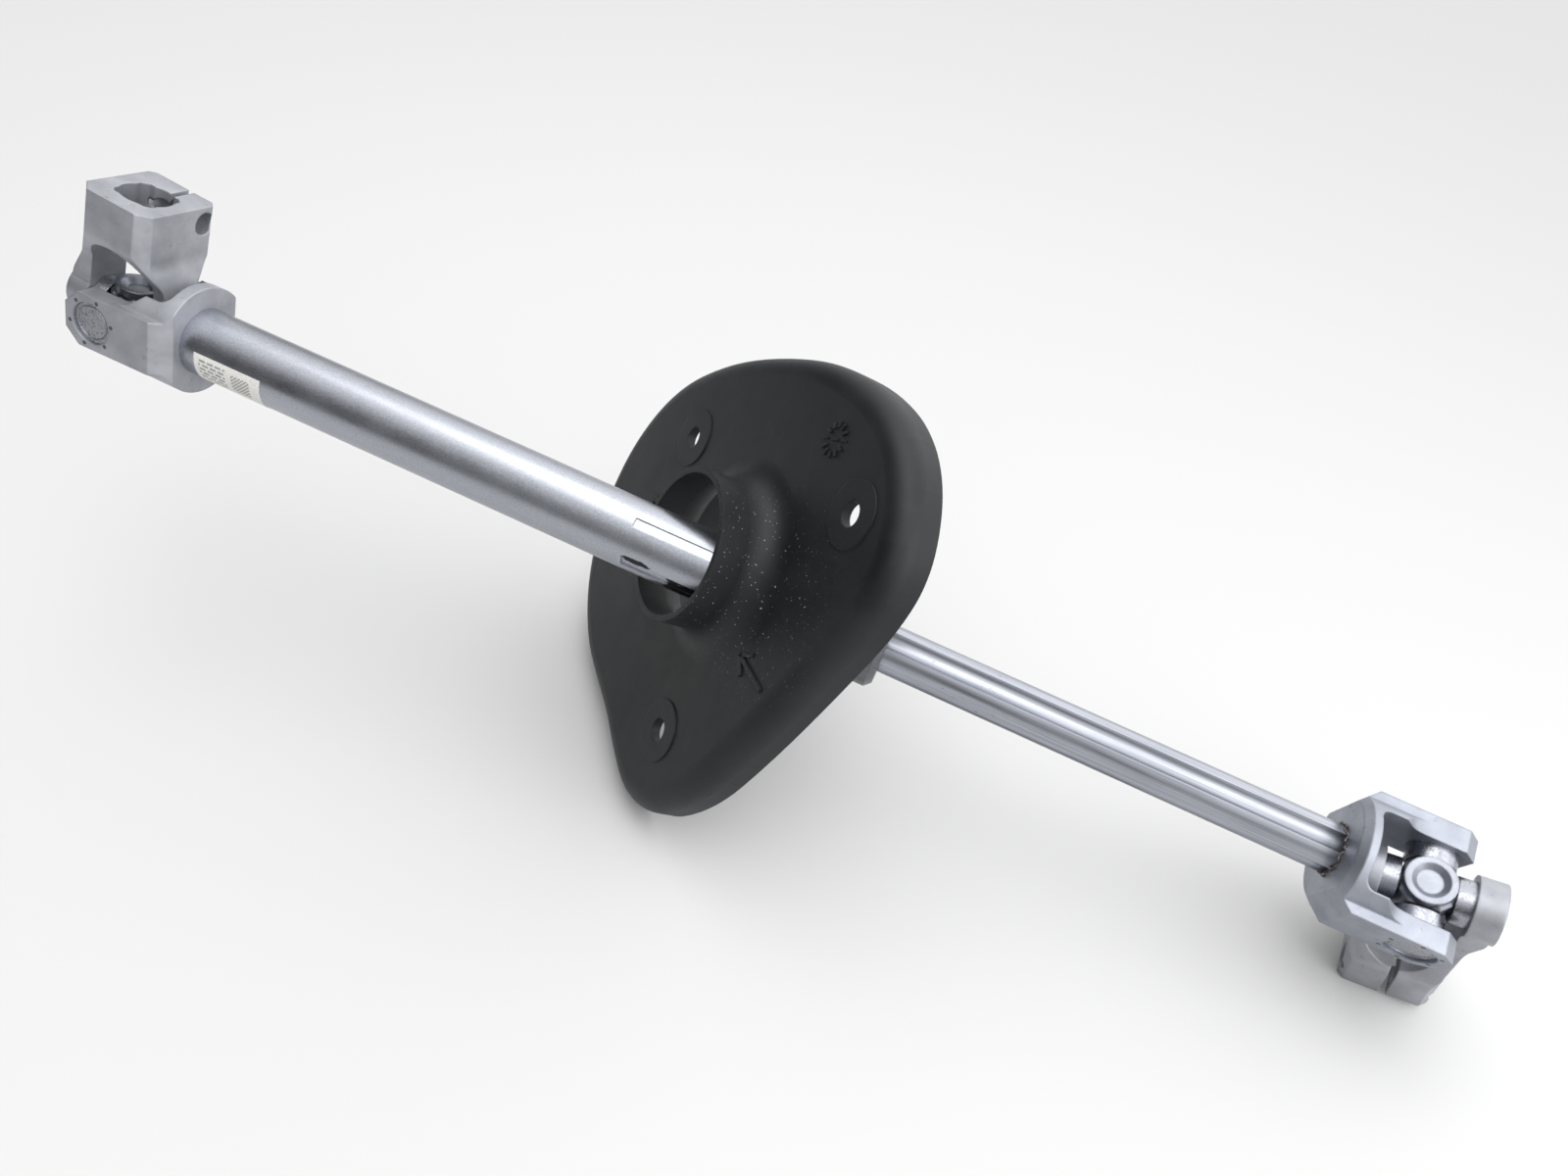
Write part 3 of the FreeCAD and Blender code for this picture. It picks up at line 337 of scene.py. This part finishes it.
def ground_cups(name, light, dark, rust_share):
    """Ground steel with rust pits, which show more or less."""
    material, tree = new_finish(name)
    place = place_in(tree, MODEL_FRAME)
    grown = node(tree, "TexNoise", {"Vector": place, "Scale": 1 / PIT_WIDTH, "Detail": 5.0,
                                    "Roughness": 0.75})
    stains = node(tree, "TexNoise", {"Vector": place, "Scale": 1 / STAIN_WIDTH, "Detail": 3.0,
                                     "Roughness": 0.55})
    pits = node(tree, "Math", (node(tree, "MapRange", (grown, PIT_FROM, PIT_FULL)), rust_share),
                operation="MULTIPLY")
    steel = node(tree, "Mix", {0: stains, 6: light, 7: dark}, data_type="RGBA")
    coat(tree, Metallic=1.0,
         Base_Color=node(tree, "Mix", {0: pits, 6: steel, 7: RUST}, data_type="RGBA"),
         Roughness=node(tree, "MapRange", (pits, 0.0, 1.0, *CUP_ROUGH)),
         Normal=relief(tree, pits, PIT_RISE, CUP_EDGE))
    return material


cup_steel = {"upper": ground_cups("pitted bearing steel", srgb("#a8aab0"), srgb("#8c8e94"), 0.7),
             "lower": ground_cups("clean bearing steel", srgb("#a4a6ad"), srgb("#8d8f97"), 0.3)}
for yoke in YOKES:
    dress(cup_steel[yoke.split("_")[0]], yoke + "_cups")


def filmed(name, clean, soiled, width, rise, detail=3.0, **values):
    """A plain material under a thin uneven film of grease or oxide."""
    material, tree = new_finish(name)
    film = node(tree, "TexNoise", {"Vector": place_in(tree, MODEL_FRAME), "Scale": 1 / width,
                                   "Detail": detail, "Roughness": 0.55})
    if isinstance(values["Roughness"], tuple):
        values["Roughness"] = node(tree, "MapRange", (film, *NOISE_SPAN, *values["Roughness"]))
    coat(tree, Base_Color=node(tree, "Mix", {0: film, 6: clean, 7: soiled}, data_type="RGBA"),
         Normal=relief(tree, film, rise), **values)
    return material


ground_steel = filmed("ground bearing steel", srgb("#c4c5c8"), srgb("#a9a8a6"), 2.0, 0.003,
                      Metallic=1.0, Roughness=0.12)
dress(ground_steel, *(yoke + "_needles" for yoke in YOKES), "stop_ring")


# Seals: nitrile rubber rings in the cups' mouths and behind the tube's cap. They are matt
# black under a film of old grease, which shines in places.
seal_rubber = filmed("nitrile rubber", srgb("#1b1a19"), srgb("#2b2926"), 1.2, 0.03, detail=4.0,
                     Roughness=(0.35, 0.65), IOR=1.52)
dress(seal_rubber, *(yoke + "_seals" for yoke in YOKES), "wiper_seal")


# Glide sleeve: moulded nylon in its natural cream colour, yellowed by grease. Its moulded skin
# is smooth and half matt, and it is pressed into the tube.
nylon = filmed("natural nylon", srgb("#cfc8b4"), srgb("#b3a98c"), 3.0, 0.01, Roughness=0.45,
               IOR=1.53)
dress(nylon, "glide_sleeve")


# Inner shaft: cold-drawn bar with four concave flutes. Drawing leaves bright lines along it a
# fifth of a millimetre apart, drawn coarser here so that they show. Dark specks of dirt sit
# beside the boot and the lower fork.
SHAFT_LIGHT, SHAFT_DARK, SHAFT_DIRT = srgb("#aeb1b9"), srgb("#8f939b"), srgb("#2c2825")
SHOWN_LINE_GAP, SHAFT_CLOUD, SPECK_WIDTH = 0.5, 9.0, 1.1
LINE_STRETCH, CLOUD_STRETCH, SPECK_STRETCH = (0.015, 1, 1), (0.25, 1, 1), (0.5, 1, 1)
SPECK_FROM, SPECK_FULL, SPECK_COVER, SPECK_ROUGH, SPECKS_ELSEWHERE = 0.63, 0.69, 0.85, 0.4, 0.25
POLISH_ROUGH, LINE_RISE, FLUTE_EDGE = (0.28, 0.36), 0.01, 0.25
BESIDE_BOOT, BOOT_DIRT_END, FORK_DIRT_START, FORK_DIRT_FULL = (318, 372), 12.0, 44, 34
shaft_length = (lower_centre - upper_centre).length / MM
drawn, tree = new_finish("cold-drawn bright steel")
place = place_in(tree, shaft_frame)
axes = node(tree, "SeparateXYZ", (place,))
drawn_out = node(tree, "Mapping", {"Vector": place, "Scale": LINE_STRETCH})
lines = node(tree, "TexNoise", {"Vector": drawn_out, "Scale": 1 / SHOWN_LINE_GAP, "Detail": 3.0,
                                "Roughness": 0.55})
pulled = node(tree, "Mapping", {"Vector": place, "Scale": CLOUD_STRETCH})
broad = node(tree, "TexNoise", {"Vector": pulled, "Scale": 1 / SHAFT_CLOUD, "Detail": 3.0,
                                "Roughness": 0.55})
streaked = node(tree, "Mapping", {"Vector": place, "Scale": SPECK_STRETCH})
grime = node(tree, "TexNoise", {"Vector": streaked, "Scale": 1 / SPECK_WIDTH, "Detail": 5.0,
                                "Roughness": 0.75})
specks = node(tree, "MapRange", (grime, SPECK_FROM, SPECK_FULL))
near_boot = within(tree, axes.outputs["X"], *BESIDE_BOOT, BOOT_DIRT_END)
near_fork = node(tree, "MapRange", (axes.outputs["X"], shaft_length - FORK_DIRT_START,
                                    shaft_length - FORK_DIRT_FULL))
share = node(tree, "Math", (near_boot, near_fork), operation="MAXIMUM")
share = node(tree, "Math", (share, SPECKS_ELSEWHERE), operation="MAXIMUM")
dirty = node(tree, "Math", (specks, share), operation="MULTIPLY")
steel = node(tree, "Mix", {0: node(tree, "MapRange", (lines, *NOISE_SPAN)),
                           6: SHAFT_DARK, 7: SHAFT_LIGHT}, data_type="RGBA")
soiled = node(tree, "Math", (dirty, SPECK_COVER), operation="MULTIPLY")
polish = node(tree, "MapRange", (broad, *NOISE_SPAN, *POLISH_ROUGH))
dulled = node(tree, "Math", (dirty, SPECK_ROUGH), operation="MULTIPLY")
coat(tree, Metallic=1.0,
     Base_Color=node(tree, "Mix", {0: soiled, 6: steel, 7: SHAFT_DIRT}, data_type="RGBA"),
     Roughness=node(tree, "Math", (polish, dulled), operation="ADD"),
     Normal=relief(tree, lines, LINE_RISE, FLUTE_EDGE))
dress(drawn, "inner_shaft")


# End cap: pressed sheet steel, phosphated dark grey and pushed on the tube's end. The crystals
# of the phosphate give a cloudy, half matt face.
CAP_DARK, CAP_LIGHT, CAP_CLOUD = srgb("#55565a"), srgb("#7b7c80"), 1.5
CAP_ROUGH, CAP_RISE, CAP_EDGE = (0.28, 0.42), 0.02, 0.4
cap_steel, tree = new_finish("phosphated pressed steel")
cloud = node(tree, "TexNoise", {"Vector": place_in(tree, shaft_frame), "Scale": 1 / CAP_CLOUD,
                                "Detail": 4.0, "Roughness": 0.55})
coat(tree, Metallic=0.9,
     Base_Color=node(tree, "Mix", {0: cloud, 6: CAP_DARK, 7: CAP_LIGHT}, data_type="RGBA"),
     Roughness=node(tree, "MapRange", (cloud, *NOISE_SPAN, *CAP_ROUGH)),
     Normal=relief(tree, cloud, CAP_RISE, CAP_EDGE))
dress(cap_steel, "tube_end_cap")


# Boot: compression-moulded EPDM rubber with a fine mould texture. It is black with a dull blue
# sheen, a faint bloom has come out of the rubber, and white dust has settled near the collar.
def turned(axis, degrees):
    """A rotation about one axis."""
    return Matrix.Rotation(math.radians(degrees), 4, axis)


BOOT_POSITION, BOOT_YAW, BOOT_LEAN, BOOT_ROLL = 227.1, 7.8, 41.0, -5.3
BOOT_DROP, BOOT_LIFT, COLLAR_HEIGHT = 7.6, 3.5, 22.0
boot_frame = (shaft_frame @ Matrix.Translation((BOOT_POSITION, 0, 0)) @ turned("Z", BOOT_YAW)
              @ turned("Y", BOOT_LEAN - 90) @ turned("Z", BOOT_ROLL)
              @ Matrix.Translation((BOOT_DROP, BOOT_LIFT, -COLLAR_HEIGHT)))
RUBBER_DARK, RUBBER_LIGHT = srgb("#101113"), srgb("#1a1b1e")
BLOOM, DUST, SHEEN = srgb("#24262b"), srgb("#a6a8aa"), srgb("#aab4c6")
MOULD_GRAIN, RUBBER_WAVE, BLOOM_PATCH, DUST_SPECK = 0.45, 24.0, 7.0, 0.9
DUST_CENTRE, DUST_THICK, DUST_GONE, DUST_COVER = (30, -6, 12), 18, 46, 0.7
FLECK_FROM, FLECK_FULL, BLOOM_FROM, BLOOM_FULL, BLOOM_COVER = 0.725, 0.74, 0.5, 0.8, 0.22
RUBBER_ROUGH, GRAIN_ROUGH, WAVE_SHARE = (0.4, 0.52), (0.0, 0.06), 6.0
MOULD_RISE, BOOT_EDGE = 0.035, 0.6
rubber, tree = new_finish("moulded EPDM rubber")
place = place_in(tree, MODEL_FRAME)
grain = node(tree, "TexNoise", {"Vector": place, "Scale": 1 / MOULD_GRAIN, "Detail": 2.0,
                                "Roughness": 0.55})
waves = node(tree, "TexNoise", {"Vector": place, "Scale": 1 / RUBBER_WAVE, "Detail": 3.0,
                                "Roughness": 0.55})
patches = node(tree, "TexNoise", {"Vector": place, "Scale": 1 / BLOOM_PATCH, "Detail": 5.0,
                                  "Roughness": 0.65})
flecks = node(tree, "TexNoise", {"Vector": place, "Scale": 1 / DUST_SPECK, "Detail": 1.0,
                                 "Roughness": 0.55})
from_collar = node(tree, "VectorMath", (place_in(tree, boot_frame), DUST_CENTRE),
                   operation="DISTANCE")
dust = node(tree, "Math", (node(tree, "MapRange", (flecks, FLECK_FROM, FLECK_FULL)),
                           node(tree, "MapRange", (from_collar, DUST_THICK, DUST_GONE, 1.0, 0.0))),
            operation="MULTIPLY")
black = node(tree, "Mix", {0: node(tree, "MapRange", (waves, *NOISE_MIDDLE)),
                           6: RUBBER_DARK, 7: RUBBER_LIGHT}, data_type="RGBA")
hazy = node(tree, "MapRange", (patches, BLOOM_FROM, BLOOM_FULL, 0.0, BLOOM_COVER))
bloomed = node(tree, "Mix", {0: hazy, 6: black, 7: BLOOM}, data_type="RGBA")
dusted = node(tree, "Math", (dust, DUST_COVER), operation="MULTIPLY")
swell = node(tree, "Math", (waves, WAVE_SHARE), operation="MULTIPLY")
coat(tree, IOR=1.5, Specular_IOR_Level=0.32,
     Sheen_Weight=0.03, Sheen_Roughness=0.5, Sheen_Tint=SHEEN,
     Base_Color=node(tree, "Mix", {0: dusted, 6: bloomed, 7: DUST}, data_type="RGBA"),
     Roughness=node(tree, "Math", (node(tree, "MapRange", (waves, *NOISE_SPAN, *RUBBER_ROUGH)),
                                   node(tree, "MapRange", (grain, *NOISE_SPAN, *GRAIN_ROUGH))),
                    operation="ADD"),
     Normal=relief(tree, node(tree, "Math", (grain, swell), operation="ADD"),
                   MOULD_RISE, BOOT_EDGE))
dress(rubber, "rubber_boot")


# Moulded signs on the boot: a plain arrow, a dial of ticks for the mould's month and one short
# mark. They stand 0.7 mm proud of the plate, with sloping flanks, in the boot's own rubber.
def new_piece(name, fill, frame_of_piece, material, body):
    """A piece whose mesh is filled by a function, in millimetres."""
    work = bmesh.new()
    fill(work)
    mesh = bpy.data.meshes.new(name)
    bmesh.ops.recalc_face_normals(work, faces=work.faces)
    work.to_mesh(mesh)
    work.free()
    mesh.transform(frame_of_piece)
    mesh.materials.append(material)
    piece = bpy.data.objects.new(name, mesh)
    bpy.context.scene.collection.objects.link(piece)
    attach(piece, body)


SIGN_SUNK, SIGN_RISE, FLANK_SLOPE = -0.6, 0.7, 0.15
BAR_FACES = ((0, 1, 3, 2), (4, 5, 7, 6), (0, 1, 5, 4), (2, 3, 7, 6), (0, 2, 6, 4), (1, 3, 7, 5))


def moulded_bars(segments, width):
    """Fills a piece with straight bars that stand on the plate."""
    def fill(work):
        for start, end in segments:
            start, end = Vector((*start, 0)), Vector((*end, 0))
            ahead = (end - start).normalized()
            side = Vector((-ahead.y, ahead.x, 0))
            corners = []
            for level, inset in ((SIGN_SUNK, 0.0), (SIGN_RISE, FLANK_SLOPE)):
                for at, inward in ((start, 1), (end, -1)):
                    for hand in (1, -1):
                        corners.append(work.verts.new(
                            at + ahead * inward * inset + side * hand * (width / 2 - inset)
                            + Vector((0, 0, level))))
            for loop in BAR_FACES:
                work.faces.new([corners[i] for i in loop])
    return fill


DIAL_CENTRE, DIAL_INNER, DIAL_OUTER, MONTHS = Vector((40, 51)), 4.0, 6.6, 12
DIAL_POINTER, DIAL_WIDTH = Vector((1.8, 0)), 1.1
dial = []
for month in range(MONTHS):
    turn = 2 * math.pi * month / MONTHS
    ray = Vector((math.cos(turn), math.sin(turn)))
    dial.append((DIAL_CENTRE + ray * DIAL_INNER, DIAL_CENTRE + ray * DIAL_OUTER))
dial.append((DIAL_CENTRE - DIAL_POINTER, DIAL_CENTRE + DIAL_POINTER))
ARROW_TAIL, ARROW_TIP, ARROW_WIDTH = (48, -36), (29, -28.5), 1.9
ARROW_BARBS = ((36.8, -26.6), (33.4, -35.2))
arrow = [(ARROW_TAIL, ARROW_TIP)] + [(ARROW_TIP, barb) for barb in ARROW_BARBS]
MARK_BARS, MARK_WIDTH = (((-74, 12.5), (-68, 12.5)), ((-74, 9.5), (-71, 9.5))), 1.2
new_piece("boot_dial", moulded_bars(dial, DIAL_WIDTH), boot_frame, rubber, "tube")
new_piece("boot_arrow", moulded_bars(arrow, ARROW_WIDTH), boot_frame, rubber, "tube")
new_piece("boot_mark", moulded_bars(MARK_BARS, MARK_WIDTH), boot_frame, rubber, "tube")


# Ends of the bearing cups: each has a pressed ring 12.5 mm across, and the ear round it is
# staked with six punch marks that hold the cup. The marks are flat dark discs on the ear, and
# their dark colour is painted shade for the punched dimples.
CUP_FACE, EAR_FACE, BOSS_RISE, RING_RADIUS, RING_WIRE = 20.7, 21.7, 0.6, 6.2, 0.35
STAKE_CIRCLE, STAKE_RADIUS, STAKE_DEPTH, STAKES, FIRST_STAKE = 9.2, 0.8, 0.12, 6, 0.3
# Dark colour of the punch marks: painted shade for the dimples that the punch leaves.
painted_dimple_shade = filmed("painted dimple shade", srgb("#4a4a4c"), srgb("#6c6c70"), 0.5, 0.02,
                Metallic=0.8, Roughness=0.55)


def wire_ring(distance, radius, wire, segments=48, sides=8):
    """Fills a piece with a round ring of wire about Z at a height."""
    def fill(work):
        loops = []
        for k in range(segments):
            a = 2 * math.pi * k / segments
            loop = []
            for m in range(sides):
                b = 2 * math.pi * m / sides
                reach = radius + wire * math.cos(b)
                loop.append(work.verts.new((reach * math.cos(a), reach * math.sin(a),
                                            distance + wire * math.sin(b))))
            loops.append(loop)
        for k in range(segments):
            here, there = loops[k], loops[(k + 1) % segments]
            for m in range(sides):
                after = (m + 1) % sides
                work.faces.new((here[m], there[m], there[after], here[after]))
    return fill


def punch_marks(distance):
    """Fills a piece with shallow round marks on a flat ear, as thin lenses that carry painted shade.
    """
    def fill(work):
        for k in range(STAKES):
            a = FIRST_STAKE + 2 * math.pi * k / STAKES
            spot = Matrix.Translation((STAKE_CIRCLE * math.cos(a),
                                       STAKE_CIRCLE * math.sin(a), distance))
            bmesh.ops.create_uvsphere(work, u_segments=16, v_segments=8, radius=STAKE_RADIUS,
                                      matrix=spot @ Matrix.Diagonal((1, 1, STAKE_DEPTH, 1)))
    return fill


def joint_frame(end, along_fold):
    """A frame at a joint's centre, with Z along its fold or its swing axis."""
    fold, swing = (Vector(joints[end + motion]["axis"]).normalized()
                   for motion in ("_fold", "_swing"))
    up, side = (fold, swing) if along_fold else (swing, fold)
    axes = Matrix((side, up.cross(side), up)).transposed().to_4x4()
    return Matrix.Translation(Vector(joints[end + "_fold"]["pos_m"])) @ axes @ Matrix.Scale(MM, 4)


for yoke, end, along_fold, body, face in (
        ("upper_tube_yoke", "upper", True, "tube", EAR_FACE),
        ("upper_clamp_yoke", "upper", False, "upper_clamp", EAR_FACE + BOSS_RISE),
        ("lower_shaft_yoke", "lower", True, "shaft", EAR_FACE),
        ("lower_clamp_yoke", "lower", False, "lower_clamp", EAR_FACE + BOSS_RISE),
):
    near = joint_frame(end, along_fold)
    for ear, seat in (("near", near), ("far", near @ turned("X", 180))):
        new_piece(f"{yoke}_{ear}_cup_ring", wire_ring(CUP_FACE, RING_RADIUS, RING_WIRE),
                  seat, cup_steel[end], body)
        new_piece(f"{yoke}_{ear}_stakes", punch_marks(face), seat, painted_dimple_shade, body)


# Burr round the inner shaft where it enters the lower fork: pressing shaved a thin curl of
# steel off the flutes' edges, and it has rusted brown.
BURR_BEFORE_JOINT, BURR_RADIUS, BURR_WIRE, BURR_STEPS = 31.3, 9.1, 0.45, 96
BURR_LOBES, BURR_CURLS, BURR_WAVES = (17, 0.25), (7, 0.3), (11, 0.5)
CURL_PHASE, RUST_FLAKE, FLAKE_FROM, FLAKE_FULL, FLAKE_RISE = 1.3, 0.8, 0.4, 0.6, 0.05
FLAKE_BROWN, FLAKE_BARE = srgb("#3a2a20"), srgb("#8f8c8a")
rust, tree = new_finish("rusty shaved steel")
grown = node(tree, "TexNoise", {"Vector": place_in(tree, MODEL_FRAME), "Scale": 1 / RUST_FLAKE,
                                "Detail": 4.0, "Roughness": 0.55})
flakes = node(tree, "MapRange", (grown, FLAKE_FROM, FLAKE_FULL))
coat(tree, Metallic=0.7, Roughness=0.5, Normal=relief(tree, flakes, FLAKE_RISE),
     Base_Color=node(tree, "Mix", {0: flakes, 6: FLAKE_BROWN, 7: FLAKE_BARE}, data_type="RGBA"))


def shaved_curl(work):
    """Fills a piece with a ragged ring about Z: its reach and its height wander."""
    wire_ring(0.0, BURR_RADIUS, BURR_WIRE, segments=BURR_STEPS)(work)
    for vertex in work.verts:
        a = math.atan2(vertex.co.y, vertex.co.x)
        wander = (BURR_LOBES[1] * math.sin(BURR_LOBES[0] * a)
                  + BURR_CURLS[1] * math.sin(BURR_CURLS[0] * a + CURL_PHASE))
        flat = Vector((vertex.co.x, vertex.co.y, 0)).normalized()
        vertex.co += flat * wander + Vector((0, 0, BURR_WAVES[1] * math.sin(BURR_WAVES[0] * a)))


burr_seat = Matrix.Translation((shaft_length - BURR_BEFORE_JOINT, 0, 0)) @ turned("Y", 90)
new_piece("shaft_burr", shaved_curl, shaft_frame @ burr_seat, rust, "shaft")
